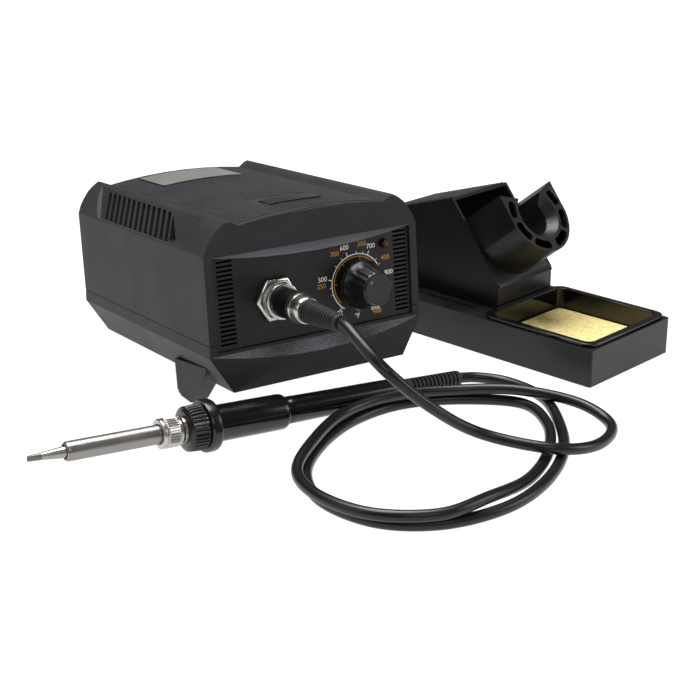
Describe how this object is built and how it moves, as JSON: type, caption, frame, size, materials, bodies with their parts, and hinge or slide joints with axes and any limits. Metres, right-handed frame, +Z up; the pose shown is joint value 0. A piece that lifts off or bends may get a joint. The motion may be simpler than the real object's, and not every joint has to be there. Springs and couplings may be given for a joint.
{
  "type": "soldering iron station",
  "caption": "Temperature-controlled soldering station: sloped control unit with dial, plug-in iron on a coiled lead, and a separate iron stand with sponge tray.",
  "frame": {"origin": "centre of the footprint of the unit, iron and stand, on the surface they stand on", "axes": "+X to the right along the control unit's front, +Y towards its back, +Z up; the fronts face -Y"},
  "size_m": [0.3588, 0.312, 0.1008],
  "materials": {
    "case": "fine-textured black ABS",
    "panel": "matt black printed panel",
    "gloss_black": "polished black plastic",
    "matt_black": "satin black plastic",
    "rubber": "soft black rubber",
    "cord_black": "smooth black PVC",
    "chrome": "polished nickel plate",
    "steel": "brushed stainless",
    "plated_iron": "grey plating",
    "brass": "plain",
    "ceramic": "white ceramic",
    "copper": "enamelled copper",
    "board": "green laminate",
    "grey_label": "grey film label",
    "red_lens": "dark red lens",
    "sponge": "damp cellulose sponge"
  },
  "bodies": {
    "control_unit": {"unit_lower_shell": "case", "unit_upper_shell": "case", "unit_front_panel": "panel", "unit_rear_panel": "panel", "mains_inlet": "matt_black", "power_switch_frame": "matt_black", "rating_label": "grey_label", "top_badge": "gloss_black", "circuit_board": "board", "transformer_core": "plated_iron", "transformer_coil": "copper", "case_screw_1": "steel", "case_screw_2": "steel", "case_screw_3": "steel", "case_screw_4": "steel", "rear_pad_left": "rubber", "rear_pad_right": "rubber", "leg_pad_left": "rubber", "leg_pad_right": "rubber", "potentiometer_body": "steel", "indicator_lens": "red_lens", "socket_shell": "steel", "socket_nut": "chrome", "socket_insert": "matt_black"},
    "knob": {"temperature_knob": "gloss_black", "potentiometer_shaft": "steel"},
    "fuse_drawer": {"fuse_drawer": "matt_black"},
    "rocker": {"power_rocker": "gloss_black"},
    "iron": {"plug_body": "matt_black", "plug_clamp_shell": "chrome", "plug_boot": "rubber", "iron_cord": "cord_black", "iron_strain_relief": "rubber", "iron_handle": "gloss_black", "iron_grip": "gloss_black", "iron_collar": "matt_black", "iron_heater_bush": "brass", "iron_heater": "ceramic"},
    "coupling_ring": {"plug_coupling_ring": "chrome"},
    "black_nut": {"iron_black_nut": "matt_black"},
    "tip_set": {"iron_tip": "plated_iron", "iron_sleeve": "steel"},
    "sleeve_nut": {"iron_sleeve_nut": "steel"},
    "stand": {"stand_base": "case", "holder_housing": "matt_black", "holder_barrel": "matt_black", "stand_foot_front_left": "rubber", "stand_foot_front_right": "rubber", "stand_foot_rear_left": "rubber", "stand_foot_rear_right": "rubber"},
    "sponge_tray": {"sponge_tray": "gloss_black"},
    "sponge": {"cleaning_sponge": "sponge"}
  },
  "joints": [
    {"name": "temperature_knob_turn", "type": "hinge", "parent": "control_unit", "child": "knob", "pos_m": [0.00678, -0.0575, 0.05968], "axis": [0, -0.9956, 0.0933], "range_deg": [-118, 102]},
    {"name": "power_rocker_tilt", "type": "hinge", "parent": "control_unit", "child": "rocker", "pos_m": [0.00738, 0.10305, 0.04734], "axis": [1, 0, 0], "range_deg": [0, 13]},
    {"name": "fuse_drawer_pull", "type": "slide", "parent": "control_unit", "child": "fuse_drawer", "axis": [0, 0.9956, -0.0933], "range_m": [0, 0.02]},
    {"name": "plug_pull", "type": "slide", "parent": "control_unit", "child": "iron", "axis": [0, -0.9956, 0.0933], "range_m": [0, 0.03]},
    {"name": "coupling_ring_turn", "type": "hinge", "parent": "iron", "child": "coupling_ring", "pos_m": [-0.04012, -0.05571, 0.05941], "axis": [0, -0.9956, 0.0933], "continuous": true},
    {"name": "tip_set_pull", "type": "slide", "parent": "iron", "child": "tip_set", "axis": [-0.9983, -0.0168, 0.0558], "range_m": [0, 0.05]},
    {"name": "sleeve_nut_turn", "type": "hinge", "parent": "tip_set", "child": "sleeve_nut", "pos_m": [-0.11147, -0.07328, 0.01391], "axis": [-0.9983, -0.0168, 0.0558], "continuous": true},
    {"name": "black_nut_turn", "type": "hinge", "parent": "iron", "child": "black_nut", "pos_m": [-0.09949, -0.07308, 0.01324], "axis": [-0.9983, -0.0168, 0.0558], "continuous": true},
    {"name": "stand_move", "type": "slide", "parent": "control_unit", "child": "stand", "axis": [1, 0, 0], "range_m": [0, 0.1]},
    {"name": "sponge_tray_lift", "type": "slide", "parent": "stand", "child": "sponge_tray", "axis": [0, 0, 1], "range_m": [0, 0.0155]},
    {"name": "sponge_lift", "type": "slide", "parent": "sponge_tray", "child": "sponge", "axis": [0, 0, 1], "range_m": [0, 0.012]}
  ]
}
